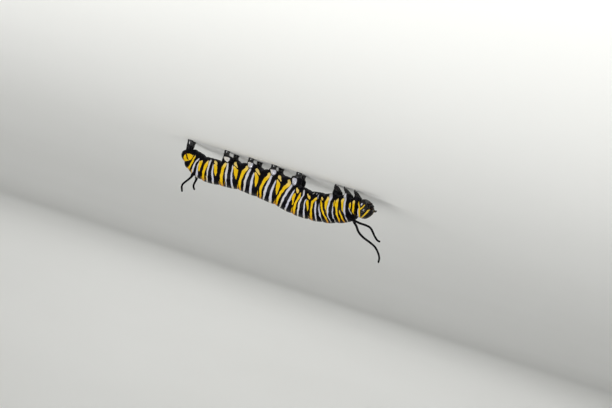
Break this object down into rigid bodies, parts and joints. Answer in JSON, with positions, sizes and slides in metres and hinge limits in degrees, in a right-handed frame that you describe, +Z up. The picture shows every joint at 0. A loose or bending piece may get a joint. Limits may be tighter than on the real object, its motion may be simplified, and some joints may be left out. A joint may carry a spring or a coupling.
{
  "type": "monarch larva",
  "caption": "Life-size fifth-instar monarch larva standing on its prolegs and legs, banded black, yellow and white, with long front and short rear filaments.",
  "frame": {"origin": "middle of the bounding box, at the level of the feet", "axes": "+X towards the tail, +Y towards the larva's right side, +Z up, away from the floor it stands on"},
  "size_m": [0.0484, 0.011, 0.0127],
  "materials": {
    "skin": "satin, finely wrinkled, banded black, yellow and white",
    "filament": "satin black",
    "capsule": "glossy black with yellow arches",
    "leg": "glossy black",
    "mouthpart": "satin dark brown",
    "lens": "polished black"
  },
  "bodies": {
    "root": {"abdomen_10": "skin", "abdomen_9": "skin", "abdomen_8": "skin", "abdomen_7": "skin", "abdomen_6": "skin", "abdomen_5": "skin", "abdomen_4": "skin", "abdomen_3": "skin", "abdomen_2": "skin", "abdomen_1": "skin", "metathorax": "skin", "mesothorax": "skin", "prothorax": "skin", "proleg_3_left": "skin", "proleg_3_right": "skin", "proleg_4_left": "skin", "proleg_4_right": "skin", "proleg_5_left": "skin", "proleg_5_right": "skin", "proleg_6_left": "skin", "proleg_6_right": "skin", "anal_proleg_left": "skin", "anal_proleg_right": "skin", "front_filament_left_1": "filament", "front_filament_left_2": "filament", "front_filament_right_1": "filament", "front_filament_right_2": "filament", "rear_filament_left": "filament", "rear_filament_right": "filament", "leg_1_left": "leg", "leg_1_right": "leg", "leg_2_left": "leg", "leg_2_right": "leg", "leg_3_left": "leg", "leg_3_right": "leg", "head": "capsule", "antenna_left": "capsule", "antenna_right": "capsule", "stemmata_left": "lens", "stemmata_right": "lens", "labrum": "mouthpart", "mandible_left": "mouthpart", "mandible_right": "mouthpart", "labium": "mouthpart"}
  },
  "joints": []
}
